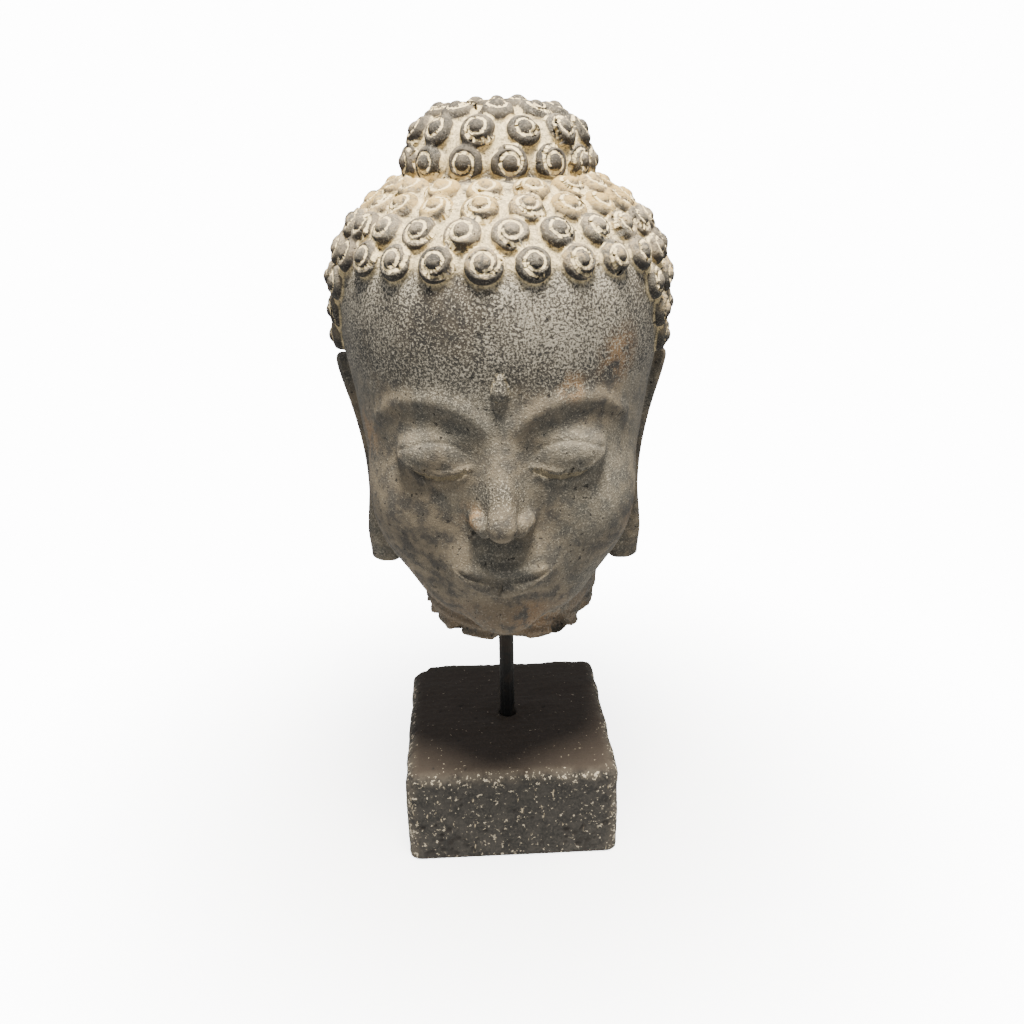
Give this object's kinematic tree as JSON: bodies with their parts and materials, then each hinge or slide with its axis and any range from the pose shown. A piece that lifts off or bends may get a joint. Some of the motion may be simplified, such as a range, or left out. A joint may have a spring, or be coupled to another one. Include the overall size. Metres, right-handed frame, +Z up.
{
  "type": "stone buddha head on stand",
  "caption": "Weathered stone head with snail-shell curls, a topknot and long ears, held above a rough square block by a thin iron rod.",
  "frame": {"origin": "centre of the block's underside, on the rod's axis", "axes": "+Z up along the rod, -Y the way the face looks, +X to the viewer's right when looking at the face"},
  "size_m": [0.1728, 0.2052, 0.3701],
  "materials": {
    "head_stone": "rough dark grey-brown stone with a cream wash in the hollows",
    "block_stone": "rough pitted dark stone with cream flecks",
    "iron": "blackened iron"
  },
  "bodies": {
    "root": {"head": "head_stone", "rod": "iron", "block": "block_stone"}
  },
  "joints": []
}
